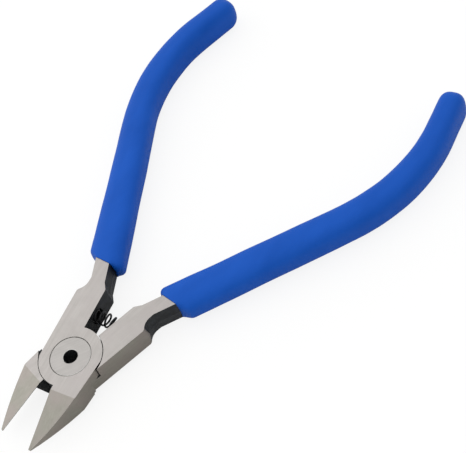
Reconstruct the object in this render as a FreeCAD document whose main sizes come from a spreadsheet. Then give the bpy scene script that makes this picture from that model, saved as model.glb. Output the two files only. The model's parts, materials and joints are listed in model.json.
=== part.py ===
import FreeCAD, Part
import Sketcher
import math
import os

# Small flush-cutting nippers, nominal length 120 mm with the jaws shut.
#
# Frame: the origin is on the pivot axis at mid thickness, +Z points out of the front face and +Y
# runs from the pivot towards the handles, midway between them. Each half is designed in its own
# shut frame, where the two cutting edges meet on the line x = 0, and is then turned about Z by
# half_opening, which is the position the return spring holds the handles in.
# Both halves start as one forging: the rear half is the front half turned 180 degrees about Y. Only
# the jaws are ground differently, because both flush facets lie on the tool's front side.

DIMENSIONS = [
    # alias, value in mm or degrees
    ("thickness", 5.5),            # over the ground front and rear faces
    ("half_opening", 11.2),        # each half's turn from shut to the sprung rest position
    # Lap joint
    ("lobe_radius", 7.0),
    ("recess_radius", 7.12),       # the round recess that the other half's lobe turns in
    ("lap_gap", 0.04),             # between the two lobes, at mid thickness
    ("shoulder_inner_x", 6.3),
    ("shoulder_outer_x", 9.0),
    ("shoulder_outer_y", -3.3),
    ("shoulder_cut_x", 4.9),       # at the ground face the lap opens into a wedge from here outwards
    ("shoulder_cut_outer_y", -1.9),
    ("shoulder_cut_depth", 0.3),
    ("recess_top", 9.0),
    ("recess_left_x", -0.35),
    # Flat-ground sides and inner face of the head
    ("jaw_flat_top_x", 6.88),      # where the jaw's side flat runs out on the lobe
    ("neck_flat_low_x", -6.68),    # where the neck's side flat runs out on the lobe
    ("inner_face_low_x", -0.7),
    ("inner_face_top_x", -1.0),
    ("inner_face_top_y", 16.5),
    ("neck_ramp_x", -2.05),        # the inner face ramps out to the forged neck at this point
    ("neck_ramp_y", 17.95),
    ("neck_ramp_root_x", -3.0),    # and its outline returns to the head inside the neck
    ("neck_ramp_root_y", 15.2),
    ("neck_flat_top_x", -7.22),
    ("neck_flat_top_y", 14.2),
    ("side_flat_reach", 3.0),      # the grinding cut runs this far above and below neck_flat_top_y
    # Jaw
    ("blade_gap", 0.02),           # left between the shut cutting edges
    ("jaw_length", 20.1),          # pivot to tip
    ("tip_width", 0.5),
    ("jaw_corner_x", 6.1),
    ("jaw_corner_y", -7.75),
    ("jaw_curve_radius", 60.0),    # the outer side bulges slightly between corner and tip
    ("facet_start", 8.0),          # distance of the flush facet's upper end below the pivot
    ("facet_tip_height", -1.61),   # height of the cutting edge at the tip, from mid thickness
    ("rear_facet_start", 7.9),
    ("rear_facet_tip_height", -1.9),
    ("land_root", 0.14),           # height of the narrow land behind the cutting edge
    ("land_tip", 0.1),
    ("relief_foot", 7.95),         # distance below the pivot at which the bevel runs out on the far face
    ("relief_foot_height", -2.8),
    ("relief_foot_width", 0.5),
    ("relief_start", 9.3),         # distance below the pivot at which the bevel reaches the land
    ("relief_root_width", 4.6),
    ("relief_tip_width", 1.25),
    ("relief_overshoot", 0.5),     # the relief widths are measured this far past the jaw's back
    ("cut_clearance", 2.0),        # other cutting outlines run this far past the metal
    # Forged neck and tang, at mid thickness
    ("draft", 8.0),                # draft of the forged sides, from the parting line at mid thickness
    ("waist_x", -6.12),
    ("waist_y", 17.2),
    ("waist_top_y", 18.2),
    ("waist_curve_radius", 2.62),
    ("waist_curve_x", -8.0),       # the waist curve starts outside the side flat
    ("neck_root_y", 12.6),
    ("neck_root_inner_x", -2.2),
    ("neck_step_x", -1.45),
    ("neck_step_y", 17.3),
    ("tang_width", 4.1),
    ("tang_step", 0.3),            # inside the grip the tang is thinner by this on each face
    # Handle centreline, from the point where the tang leaves the grip
    ("handle_x", -4.58),
    ("handle_y", 20.3),
    ("handle_angle", 19.1),
    ("handle_straight", 42.9),
    ("handle_bend_radius", 40.3),
    ("handle_bend", 42.6),
    ("grip_end_straight", 10.4),
    ("tang_end_straight", 3.0),
    # Grip
    ("grip_width", 8.4),           # in the plane of the handles, at the mouth
    ("grip_height", 6.5),
    ("grip_end_width", 6.6),
    ("grip_end_height", 7.8),
    ("grip_corner_radius", 2.7),
    ("grip_end_radius", 2.6),
    ("grip_mouth_y", 23.0),        # the dip line, square to the tool's long axis
    ("grip_trim_size", 40.0),      # the block that trims the swept bar at the dip line
    # Rivet
    ("rivet_bore", 3.2),
    ("rivet_shank", 6.0),
    ("rivet_head", 9.0),
    ("rivet_head_depth", 1.2),
    ("rivet_edge_break", 0.1),
    ("rivet_clearance", 0.03),
    # Return spring and its seats
    ("spring_radius", 11.3),       # the bent coil axis is an arc about the pivot
    ("spring_coil_diameter", 3.1),
    ("spring_wire", 0.45),
    ("spring_turns", 7.5),
    ("spring_points_per_turn", 12),
    ("seat_diameter", 3.6),
    ("seat_depth", 1.6),
    ("seat_end_gap", 0.1),
]
SIZE = dict(DIMENSIONS)
ORIGIN = FreeCAD.Vector(0, 0, 0)
SMALLEST_CUT = 1e-4                # mm3; a cut that removes less has missed the metal
SAME_PLACE = 1e-3                  # mm; points closer than this are taken as one

doc = FreeCAD.newDocument("flush_cutter")
sheet = doc.addObject("Spreadsheet::Sheet", "Dimensions")
for row, (alias, value) in enumerate(DIMENSIONS, start=1):
    sheet.set("A%d" % row, alias)
    sheet.set("B%d" % row, str(value))
    sheet.setAlias("B%d" % row, alias)
doc.recompute()


# ---------------------------------------------------------------- helpers
def cell(alias):
    """The expression that reads one cell of the sheet."""
    return "Dimensions." + alias


def origin_plane(body, role):
    """One of the body's own origin planes, such as XY_Plane."""
    for feature in body.Origin.OriginFeatures:
        if feature.Role == role:
            return feature
    raise RuntimeError("no plane " + role)


def new_body(name):
    body = doc.addObject("PartDesign::Body", name)
    body.Label = name
    return body


def new_sketch(body, name, role="XY_Plane", offset=None):
    """A sketch on an origin plane, optionally lifted along its normal by an expression."""
    sketch = body.newObject("Sketcher::SketchObject", name)
    sketch.AttachmentSupport = [(origin_plane(body, role), "")]
    sketch.MapMode = "FlatFace"
    if offset:
        sketch.setExpression("AttachmentOffset.Base.z", offset)
    return sketch


def tie(sketch, kind, geometry, point, expression, start):
    """Tie one point's X or Y distance from the sketch origin to an expression."""
    name = "c%d" % sketch.ConstraintCount
    index = sketch.addConstraint(Sketcher.Constraint(kind, -1, 1, geometry, point, start))
    sketch.renameConstraint(index, name)
    sketch.setExpression("Constraints." + name, expression)


def tie_radius(sketch, geometry, expression, start):
    name = "c%d" % sketch.ConstraintCount
    index = sketch.addConstraint(Sketcher.Constraint("Radius", geometry, start))
    sketch.renameConstraint(index, name)
    sketch.setExpression("Constraints." + name, expression)


class Corner:
    """A corner of an outline: where it starts, and the expressions that hold it."""

    def __init__(self, x, y, x_rule=None, y_rule=None):
        self.x = x
        self.y = y
        self.x_rule = x_rule
        self.y_rule = y_rule


class Bend:
    """The round stretch that leaves a corner: centre, radius rule and turning sense."""

    def __init__(self, centre, radius_rule, anticlockwise=True, about_origin=False):
        self.centre = centre
        self.radius_rule = radius_rule
        self.anticlockwise = anticlockwise
        self.about_origin = about_origin


def draw_outline(sketch, corners, bends=None, closed=True):
    """Draw lines and arcs through the corners and tie them to the sheet."""
    bends = bends or {}
    count = len(corners)
    spans = count if closed else count - 1
    ends = []
    for index in range(spans):
        here = corners[index]
        there = corners[(index + 1) % count]
        start = FreeCAD.Vector(here.x, here.y, 0)
        finish = FreeCAD.Vector(there.x, there.y, 0)
        if index not in bends:
            geometry = sketch.addGeometry(Part.LineSegment(start, finish), False)
            ends.append((geometry, 1, 2))
            continue
        bend = bends[index]
        centre = FreeCAD.Vector(bend.centre[0], bend.centre[1], 0)
        radius = (start - centre).Length
        first, last = (start, finish) if bend.anticlockwise else (finish, start)
        angle_first = math.atan2(first.y - centre.y, first.x - centre.x)
        angle_last = math.atan2(last.y - centre.y, last.x - centre.x)
        circle = Part.Circle(centre, FreeCAD.Vector(0, 0, 1), radius)
        geometry = sketch.addGeometry(Part.ArcOfCircle(circle, angle_first, angle_last), False)
        ends.append((geometry, 1, 2) if bend.anticlockwise else (geometry, 2, 1))
    for index in range(spans if closed else spans - 1):
        this_end = ends[index]
        next_end = ends[(index + 1) % spans]
        sketch.addConstraint(
            Sketcher.Constraint("Coincident", this_end[0], this_end[2], next_end[0], next_end[1])
        )
    for index, bend in bends.items():
        geometry = ends[index][0]
        if bend.about_origin:
            sketch.addConstraint(Sketcher.Constraint("Coincident", geometry, 3, -1, 1))
        radius = sketch.Geometry[geometry].Radius
        tie_radius(sketch, geometry, bend.radius_rule, radius)
    for index, corner in enumerate(corners):
        if index < spans:
            geometry, point = ends[index][0], ends[index][1]
        else:
            geometry, point = ends[index - 1][0], ends[index - 1][2]
        if corner.x_rule:
            tie(sketch, "DistanceX", geometry, point, corner.x_rule, corner.x)
        if corner.y_rule:
            tie(sketch, "DistanceY", geometry, point, corner.y_rule, corner.y)
    return ends


def draw_circle(sketch, radius, radius_rule, x=0.0, y=0.0, x_rule=None, y_rule=None):
    circle = Part.Circle(FreeCAD.Vector(x, y, 0), FreeCAD.Vector(0, 0, 1), radius)
    geometry = sketch.addGeometry(circle, False)
    tie_radius(sketch, geometry, radius_rule, radius)
    if x_rule:
        tie(sketch, "DistanceX", geometry, 3, x_rule, x)
        tie(sketch, "DistanceY", geometry, 3, y_rule, y)
    else:
        sketch.addConstraint(Sketcher.Constraint("Coincident", geometry, 3, -1, 1))


def on_circle(radius, x, side):
    """The height of the circle about the origin at x, above (+1) or below (-1) the X axis."""
    return side * math.sqrt(radius ** 2 - x ** 2)


def sheet_corner(x_alias, y_alias):
    """A corner held by two cells."""
    return Corner(SIZE[x_alias], SIZE[y_alias], cell(x_alias), cell(y_alias))


def circle_corner(radius_alias, x_alias, side):
    """A corner at a cell's x on a circle about the origin. The arc that meets it holds its height."""
    return Corner(SIZE[x_alias], on_circle(SIZE[radius_alias], SIZE[x_alias], side), cell(x_alias))


# ---------------------------------------------------------------- the two halves
def pad_head(body):
    """The lobe, jaw and ground neck, in plan, at full thickness."""
    edge = SIZE["blade_gap"] / 2
    edge_rule = cell("blade_gap") + " / 2"
    tip = -SIZE["jaw_length"]
    tip_rule = "-" + cell("jaw_length")
    sketch = new_sketch(body, "HeadPlan")
    corners = [
        Corner(edge, tip, edge_rule, tip_rule),
        Corner(SIZE["tip_width"], tip, cell("tip_width"), tip_rule),
        sheet_corner("jaw_corner_x", "jaw_corner_y"),
        circle_corner("lobe_radius", "jaw_flat_top_x", 1),
        circle_corner("lobe_radius", "inner_face_low_x", 1),
        sheet_corner("inner_face_top_x", "inner_face_top_y"),
        sheet_corner("neck_ramp_x", "neck_ramp_y"),
        sheet_corner("neck_ramp_root_x", "neck_ramp_root_y"),
        sheet_corner("neck_flat_top_x", "neck_flat_top_y"),
        circle_corner("lobe_radius", "neck_flat_low_x", -1),
        Corner(edge, on_circle(SIZE["lobe_radius"], edge, -1), edge_rule),
    ]
    jaw_centre = curve_centre(corners[1], corners[2], SIZE["jaw_curve_radius"])
    bends = {
        1: Bend(jaw_centre, cell("jaw_curve_radius")),
        3: Bend((0, 0), cell("lobe_radius"), about_origin=True),
        9: Bend((0, 0), cell("lobe_radius"), about_origin=True),
    }
    draw_outline(sketch, corners, bends)
    pad = body.newObject("PartDesign::Pad", "Head")
    pad.Profile = sketch
    pad.SideType = "Symmetric"
    pad.setExpression("Length", cell("thickness"))
    doc.recompute()


def curve_centre(first, last, radius):
    """Centre of the arc of this radius that runs anticlockwise from first to last."""
    half = FreeCAD.Vector(last.x - first.x, last.y - first.y, 0) * 0.5
    rise = math.sqrt(radius ** 2 - half.Length ** 2)
    normal = FreeCAD.Vector(-half.y, half.x, 0).normalize()
    return (first.x + half.x + normal.x * rise, first.y + half.y + normal.y * rise)


def pad_neck_and_tang(body):
    """The forged neck and the tang inside the grip, drafted both ways from mid thickness."""
    angle = math.radians(SIZE["handle_angle"])
    half_width = SIZE["tang_width"] / 2
    start = FreeCAD.Vector(SIZE["handle_x"], SIZE["handle_y"], 0)
    straight = SIZE["handle_straight"]
    radius = SIZE["handle_bend_radius"]
    bend = math.radians(SIZE["handle_bend"])
    ahead = FreeCAD.Vector(-math.sin(angle), math.cos(angle), 0)
    inward = FreeCAD.Vector(math.cos(angle), math.sin(angle), 0)
    bend_start = start + ahead * straight
    centre = bend_start + inward * radius
    end_angle = angle - bend
    ahead_end = FreeCAD.Vector(-math.sin(end_angle), math.cos(end_angle), 0)
    inward_end = FreeCAD.Vector(math.cos(end_angle), math.sin(end_angle), 0)
    bend_end = centre - inward_end * radius
    finish = bend_end + ahead_end * SIZE["tang_end_straight"]

    sketch = new_sketch(body, "NeckPlan")
    waist_centre_y = SIZE["waist_y"]
    waist_centre_x = SIZE["waist_x"] - SIZE["waist_curve_radius"]
    reach = SIZE["waist_curve_x"] - waist_centre_x
    curve_y = waist_centre_y - math.sqrt(SIZE["waist_curve_radius"] ** 2 - reach ** 2)
    inner_start = bend_start + inward * half_width
    outer_start = bend_start - inward * half_width
    inner_end = bend_end + inward_end * half_width
    outer_end = bend_end - inward_end * half_width

    # Rules for the handle's corners, written with the sheet's cells.
    a = cell("handle_angle") + " * 1deg"
    e = "(" + cell("handle_angle") + " - " + cell("handle_bend") + ") * 1deg"
    w = cell("tang_width") + " / 2"
    bend_x = "(%s - sin(%s) * %s)" % (cell("handle_x"), a, cell("handle_straight"))
    bend_y = "(%s + cos(%s) * %s)" % (cell("handle_y"), a, cell("handle_straight"))
    centre_x = "(%s + cos(%s) * %s)" % (bend_x, a, cell("handle_bend_radius"))
    centre_y = "(%s + sin(%s) * %s)" % (bend_y, a, cell("handle_bend_radius"))
    inner_reach = "(%s - %s)" % (cell("handle_bend_radius"), w)
    outer_reach = "(%s + %s)" % (cell("handle_bend_radius"), w)

    def tang_corner(point, reach_rule, tail=False):
        x_rule = "%s - cos(%s) * %s" % (centre_x, e, reach_rule)
        y_rule = "%s - sin(%s) * %s" % (centre_y, e, reach_rule)
        if tail:
            x_rule += " - sin(%s) * %s" % (e, cell("tang_end_straight"))
            y_rule += " + cos(%s) * %s" % (e, cell("tang_end_straight"))
        return Corner(point.x, point.y, x_rule, y_rule)

    def bend_corner(point, side):
        x_rule = "%s %s cos(%s) * %s" % (bend_x, side, a, w)
        y_rule = "%s %s sin(%s) * %s" % (bend_y, side, a, w)
        return Corner(point.x, point.y, x_rule, y_rule)

    corners = [
        sheet_corner("waist_curve_x", "neck_root_y"),
        sheet_corner("neck_root_inner_x", "neck_root_y"),
        sheet_corner("neck_step_x", "neck_step_y"),
        bend_corner(inner_start, "+"),
        tang_corner(inner_end, inner_reach),
        tang_corner(finish + inward_end * half_width, inner_reach, tail=True),
        tang_corner(finish - inward_end * half_width, outer_reach, tail=True),
        tang_corner(outer_end, outer_reach),
        bend_corner(outer_start, "-"),
        sheet_corner("waist_x", "waist_top_y"),
        sheet_corner("waist_x", "waist_y"),
        Corner(SIZE["waist_curve_x"], curve_y, cell("waist_curve_x")),
    ]
    bends = {
        3: Bend((centre.x, centre.y), cell("handle_bend_radius") + " - " + w, anticlockwise=False),
        7: Bend((centre.x, centre.y), cell("handle_bend_radius") + " + " + w),
        10: Bend((waist_centre_x, waist_centre_y), cell("waist_curve_radius"), anticlockwise=False),
    }
    ends = draw_outline(sketch, corners, bends)
    # The waist curve's centre is level with its upper end, so it runs smoothly into the side above it.
    tie(sketch, "DistanceY", ends[10][0], 3, cell("waist_y"), waist_centre_y)
    pad = body.newObject("PartDesign::Pad", "NeckAndTang")
    pad.Profile = sketch
    pad.SideType = "Two sides"
    pad.setExpression("Length", cell("thickness") + " / 2")
    pad.setExpression("Length2", cell("thickness") + " / 2")
    pad.setExpression("TaperAngle", "-" + cell("draft"))
    pad.setExpression("TaperAngle2", "-" + cell("draft"))
    doc.recompute()


def check_cut(body, before, name):
    """Stop if a cut left the body's volume as it was."""
    if not body.Shape.Volume < before - SMALLEST_CUT:
        raise RuntimeError(name + " cuts nothing")


def cut(body, name, sketch, both_ways=False, length=None, upward=False):
    """Pocket a sketch, downwards unless told otherwise, and check that it really removes metal."""
    before = body.Shape.Volume
    pocket = body.newObject("PartDesign::Pocket", name)
    pocket.Profile = sketch
    if both_ways:
        pocket.SideType = "Symmetric"
        pocket.Type = "ThroughAll"
    elif length:
        pocket.setExpression("Length", length)
        pocket.Reversed = upward
    else:
        pocket.Type = "ThroughAll"
    doc.recompute()
    check_cut(body, before, name)


def grind_side_flat(body):
    """The neck's side is ground flat, in line with the head's side, where the forging stands proud."""
    low_x = SIZE["neck_flat_low_x"]
    top_x = SIZE["neck_flat_top_x"]
    top_y = SIZE["neck_flat_top_y"]
    reach = SIZE["side_flat_reach"]
    outside = SIZE["waist_curve_x"] - SIZE["cut_clearance"]
    slope = (top_x - low_x) / (top_y - on_circle(SIZE["lobe_radius"], low_x, -1))
    outside_rule = cell("waist_curve_x") + " - " + cell("cut_clearance")
    flat_height_rule = "(%s + sqrt(%s ^ 2 - %s ^ 2))" % (
        cell("neck_flat_top_y"), cell("lobe_radius"), cell("neck_flat_low_x")
    )
    slope_rule = "(%s - %s) / %s" % (cell("neck_flat_top_x"), cell("neck_flat_low_x"), flat_height_rule)

    def flat_corner(side, on_flat):
        y_rule = "%s + %d * %s" % (cell("neck_flat_top_y"), side, cell("side_flat_reach"))
        y = top_y + side * reach
        if not on_flat:
            return Corner(outside, y, outside_rule, y_rule)
        x_rule = "%s + %d * %s * %s" % (cell("neck_flat_top_x"), side, cell("side_flat_reach"), slope_rule)
        return Corner(top_x + side * reach * slope, y, x_rule, y_rule)

    corners = [flat_corner(-1, False), flat_corner(-1, True), flat_corner(1, True), flat_corner(1, False)]
    sketch = new_sketch(body, "SideFlat")
    draw_outline(sketch, corners)
    cut(body, "GroundFlat", sketch, both_ways=True)


def cut_tang_steps(body):
    """The ground front and rear faces end at the grip's mouth, where the tang becomes thinner."""
    face = SIZE["thickness"] / 2
    mouth = SIZE["grip_mouth_y"]
    beyond = SIZE["handle_y"] + SIZE["handle_straight"] + SIZE["handle_bend_radius"]
    beyond_rule = "%s + %s + %s" % (cell("handle_y"), cell("handle_straight"), cell("handle_bend_radius"))
    for name, side in (("Front", 1), ("Rear", -1)):
        floor = side * (face - SIZE["tang_step"])
        above = side * (face + SIZE["cut_clearance"])
        floor_rule = "%d * (%s / 2 - %s)" % (side, cell("thickness"), cell("tang_step"))
        above_rule = "%d * (%s / 2 + %s)" % (side, cell("thickness"), cell("cut_clearance"))
        corners = [
            Corner(mouth, floor, cell("grip_mouth_y"), floor_rule),
            Corner(beyond, floor, beyond_rule, floor_rule),
            Corner(beyond, above, beyond_rule, above_rule),
            Corner(mouth, above, cell("grip_mouth_y"), above_rule),
        ]
        sketch = new_sketch(body, name + "StepSide", role="YZ_Plane")
        draw_outline(sketch, corners)
        cut(body, name + "TangStep", sketch, both_ways=True)


def cut_lap_recess(body):
    """Clear the rear layer for the other half's lobe, up to the jaw's shoulder."""
    sketch = new_sketch(body, "LapPlan", offset=cell("lap_gap") + " / 2")
    corners = [
        circle_corner("recess_radius", "shoulder_inner_x", -1),
        sheet_corner("shoulder_outer_x", "shoulder_outer_y"),
        sheet_corner("shoulder_outer_x", "recess_top"),
        sheet_corner("recess_left_x", "recess_top"),
        circle_corner("recess_radius", "recess_left_x", 1),
    ]
    bends = {4: Bend((0, 0), cell("recess_radius"), about_origin=True)}
    draw_outline(sketch, corners, bends)
    cut(body, "LapRecess", sketch)


def cut_shoulder_wedge(body):
    """At the ground face the lap's gap widens along the jaw's shoulder, as a shallow wedge."""
    sketch = new_sketch(body, "WedgePlan", offset="-" + cell("thickness") + " / 2")
    inner_x = SIZE["shoulder_cut_x"]
    inner_y = on_circle(SIZE["recess_radius"], inner_x, -1)
    inner_y_rule = "-sqrt(%s ^ 2 - %s ^ 2)" % (cell("recess_radius"), cell("shoulder_cut_x"))
    corners = [
        Corner(inner_x, inner_y, cell("shoulder_cut_x"), inner_y_rule),
        sheet_corner("shoulder_outer_x", "shoulder_cut_outer_y"),
        Corner(SIZE["shoulder_outer_x"], 0, cell("shoulder_outer_x"), "0"),
        Corner(inner_x, 0, cell("shoulder_cut_x"), "0"),
    ]
    draw_outline(sketch, corners)
    cut(body, "ShoulderWedge", sketch, length=cell("shoulder_cut_depth"), upward=True)


def cut_facets(body, flush_side):
    """Slope the jaw's flush side down to the tip, and its back a little up to the tip."""
    half = SIZE["thickness"] / 2
    beyond = SIZE["cut_clearance"]
    for name, start, tip_height, side in (
        ("FlushFacet", "facet_start", "facet_tip_height", flush_side),
        ("RearFacet", "rear_facet_start", "rear_facet_tip_height", -flush_side),
    ):
        tip_z = flush_side * SIZE[tip_height]
        tip_rule = "%d * %s" % (flush_side, cell(tip_height))
        slope = (side * half - tip_z) / (SIZE["jaw_length"] - SIZE[start])
        end_y = -SIZE["jaw_length"] - beyond
        face_rule = "%d * %s / 2" % (side, cell("thickness"))
        clear_rule = "%d * (%s / 2 + %s)" % (side, cell("thickness"), cell("cut_clearance"))
        end_y_rule = "-%s - %s" % (cell("jaw_length"), cell("cut_clearance"))
        slope_rule = "(%s - %s) / (%s - %s)" % (face_rule, tip_rule, cell("jaw_length"), cell(start))
        corners = [
            Corner(-SIZE[start], side * half, "-" + cell(start), face_rule),
            Corner(-SIZE[start], side * (half + beyond), "-" + cell(start), clear_rule),
            Corner(end_y, side * (half + beyond), end_y_rule, clear_rule),
            Corner(end_y, tip_z - slope * beyond, end_y_rule,
                   "%s - %s * %s" % (tip_rule, slope_rule, cell("cut_clearance"))),
        ]
        sketch = new_sketch(body, name + "Side", role="YZ_Plane")
        draw_outline(sketch, corners)
        cut(body, name, sketch, both_ways=True)


def facet_height(distance_alias):
    """Height of the flush facet at a cell's distance below the pivot, and the same as a sheet rule."""
    half = SIZE["thickness"] / 2
    share = (SIZE[distance_alias] - SIZE["facet_start"]) / (SIZE["jaw_length"] - SIZE["facet_start"])
    share_rule = "(%s - %s) / (%s - %s)" % (
        cell(distance_alias), cell("facet_start"), cell("jaw_length"), cell("facet_start")
    )
    rule = "%s / 2 - (%s / 2 - %s) * %s" % (
        cell("thickness"), cell("thickness"), cell("facet_tip_height"), share_rule
    )
    return half - (half - SIZE["facet_tip_height"]) * share, rule


def cut_blade_relief(body, flush_side):
    """Bevel the inner side of the jaw behind a narrow land, to leave a cutting edge.

    Between relief_foot and relief_start the bevel runs out, so the root keeps an upright wall."""
    edge = SIZE["blade_gap"] / 2
    edge_rule = cell("blade_gap") + " / 2"
    low = -flush_side * (SIZE["thickness"] / 2 + SIZE["relief_overshoot"])
    low_rule = "%d * (%s / 2 + %s)" % (-flush_side, cell("thickness"), cell("relief_overshoot"))
    root_height, root_rule = facet_height("relief_start")
    lands = (
        ("ReliefFoot", "relief_foot", SIZE["relief_foot_height"], cell("relief_foot_height"),
         "relief_foot_width"),
        ("ReliefRoot", "relief_start", root_height - SIZE["land_root"],
         "%s - %s" % (root_rule, cell("land_root")), "relief_root_width"),
        ("ReliefTip", "jaw_length", SIZE["facet_tip_height"] - SIZE["land_tip"],
         "%s - %s" % (cell("facet_tip_height"), cell("land_tip")), "relief_tip_width"),
    )
    sections = []
    for name, distance, land, rule, width in lands:
        land_z = flush_side * land
        land_rule = "%d * (%s)" % (flush_side, rule)
        corners = [
            Corner(edge, land_z, edge_rule, land_rule),
            Corner(SIZE[width], low, cell(width), low_rule),
            Corner(-edge, low, "-" + edge_rule, low_rule),
            Corner(-edge, land_z, "-" + edge_rule, land_rule),
        ]
        sketch = new_sketch(body, name, role="XZ_Plane", offset=cell(distance))
        draw_outline(sketch, corners)
        sections.append(sketch)
    before = body.Shape.Volume
    loft = body.newObject("PartDesign::SubtractiveLoft", "BladeRelief")
    loft.Profile = sections[0]
    loft.Sections = sections[1:]
    loft.Ruled = True
    doc.recompute()
    check_cut(body, before, "BladeRelief")


def cut_rivet_hole(body):
    head = new_sketch(body, "RivetHeadSeat", offset=cell("thickness") + " / 2")
    draw_circle(
        head,
        SIZE["rivet_head"] / 2 + SIZE["rivet_clearance"],
        cell("rivet_head") + " / 2 + " + cell("rivet_clearance"),
    )
    cut(body, "HeadSeat", head, length=cell("rivet_head_depth") + " + " + cell("rivet_clearance"))
    shank = new_sketch(body, "RivetShankHole")
    draw_circle(
        shank,
        SIZE["rivet_shank"] / 2 + SIZE["rivet_clearance"],
        cell("rivet_shank") + " / 2 + " + cell("rivet_clearance"),
    )
    cut(body, "ShankHole", shank, both_ways=True)


def cut_spring_seat(body):
    """A blind hole in the neck's inner face, for the end of the return spring."""
    sketch = new_sketch(body, "SpringSeat", role="YZ_Plane")
    draw_circle(
        sketch, SIZE["seat_diameter"] / 2, cell("seat_diameter") + " / 2",
        x=SIZE["spring_radius"], y=0.0, x_rule=cell("spring_radius"), y_rule="0",
    )
    mean_face = "(%s + %s) / 2" % (cell("inner_face_low_x"), cell("inner_face_top_x"))
    cut(body, "Seat", sketch, length="%s - %s" % (cell("seat_depth"), mean_face))


def half_placement(turned):
    """Where a half sits: turned about Z, and for the rear half also turned over about Y."""
    pivot_axis = FreeCAD.Vector(0, 0, 1)
    if not turned:
        return FreeCAD.Placement(ORIGIN, FreeCAD.Rotation(pivot_axis, SIZE["half_opening"]))
    over = FreeCAD.Rotation(FreeCAD.Vector(0, 1, 0), 180)
    turn = FreeCAD.Rotation(pivot_axis, -SIZE["half_opening"])
    return FreeCAD.Placement(ORIGIN, turn.multiply(over))


def make_half(name, turned):
    body = new_body(name)
    pad_head(body)
    pad_neck_and_tang(body)
    grind_side_flat(body)
    cut_lap_recess(body)
    cut_shoulder_wedge(body)
    flush_side = -1 if turned else 1
    cut_facets(body, flush_side)
    cut_blade_relief(body, flush_side)
    cut_tang_steps(body)
    cut_rivet_hole(body)
    cut_spring_seat(body)
    body.Placement = half_placement(turned)
    return body


# ---------------------------------------------------------------- grips
def draw_rounded_rectangle(sketch, width_alias, height_alias, corner_alias):
    half_width = SIZE[width_alias] / 2
    half_height = SIZE[height_alias] / 2
    corner = SIZE[corner_alias]
    across = cell(width_alias) + " / 2"
    upright = cell(height_alias) + " / 2"
    r = cell(corner_alias)
    outline = []
    arcs = {}
    for sx, sy in ((1, -1), (1, 1), (-1, 1), (-1, -1)):
        on_flat = Corner(
            sx * (half_width - corner), sy * half_height,
            "%d * (%s - %s)" % (sx, across, r), "%d * (%s)" % (sy, upright),
        )
        on_side = Corner(
            sx * half_width, sy * (half_height - corner),
            "%d * (%s)" % (sx, across), "%d * (%s - %s)" % (sy, upright, r),
        )
        arcs[len(outline)] = Bend((sx * (half_width - corner), sy * (half_height - corner)), r)
        outline += [on_flat, on_side] if sx * sy < 0 else [on_side, on_flat]
    draw_outline(sketch, outline, arcs)


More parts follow.
